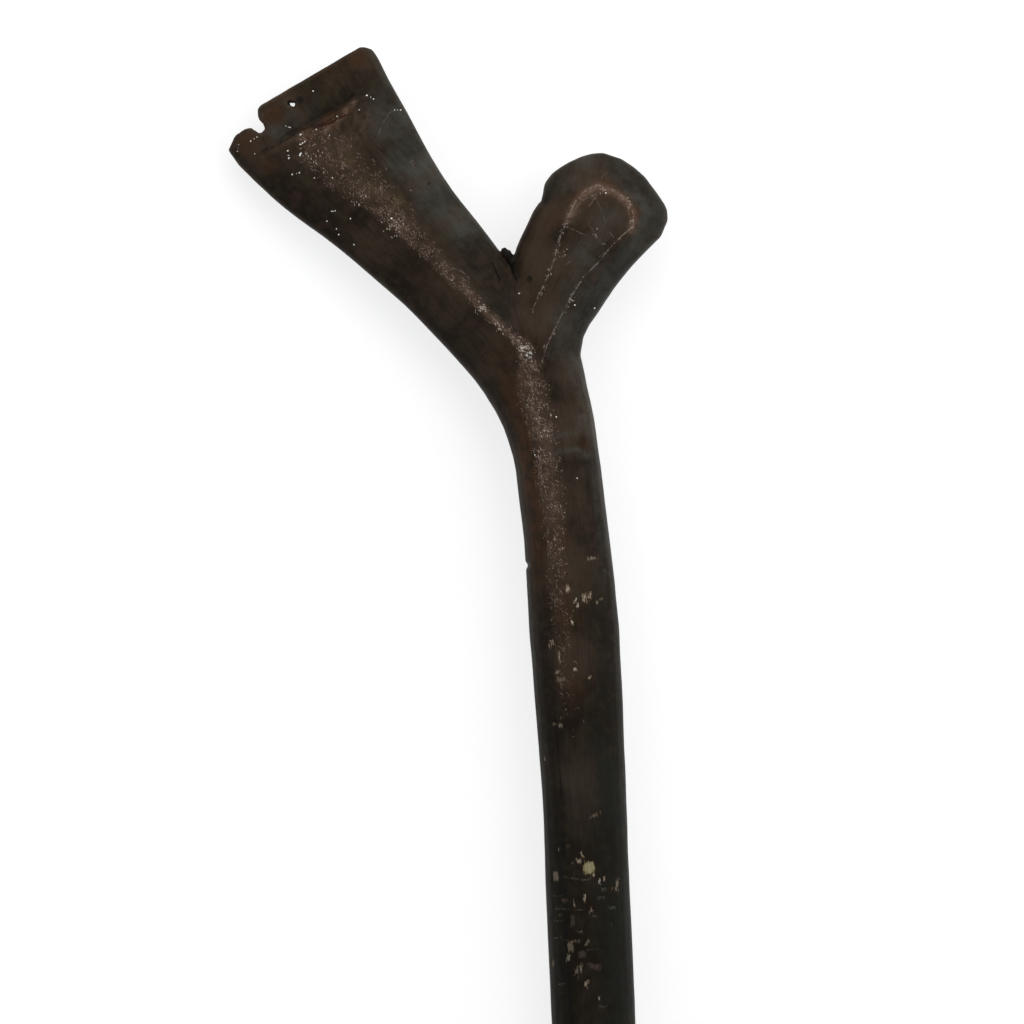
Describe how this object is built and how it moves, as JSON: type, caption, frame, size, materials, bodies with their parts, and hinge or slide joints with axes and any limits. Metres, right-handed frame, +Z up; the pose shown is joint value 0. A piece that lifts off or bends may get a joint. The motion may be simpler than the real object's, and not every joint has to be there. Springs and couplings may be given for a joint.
{
  "type": "spurred wooden club",
  "caption": "Long hand-carved hardwood club whose head forks into a flared, ridged blade with a thin lip and a short rounded spur.",
  "frame": {"origin": "middle of the bounding box in plan, on the surface the club lies on", "axes": "+Y along the shaft towards the head, +Z up through the club's thickness as it lies flat, +X towards the spur's side"},
  "size_m": [0.2346, 1.0514, 0.0443],
  "materials": {
    "dark_hardwood": "hand-rubbed dark brown patina, semi-gloss, with pale chips and fine scratches"
  },
  "bodies": {
    "root": {"club": "dark_hardwood"}
  },
  "joints": []
}
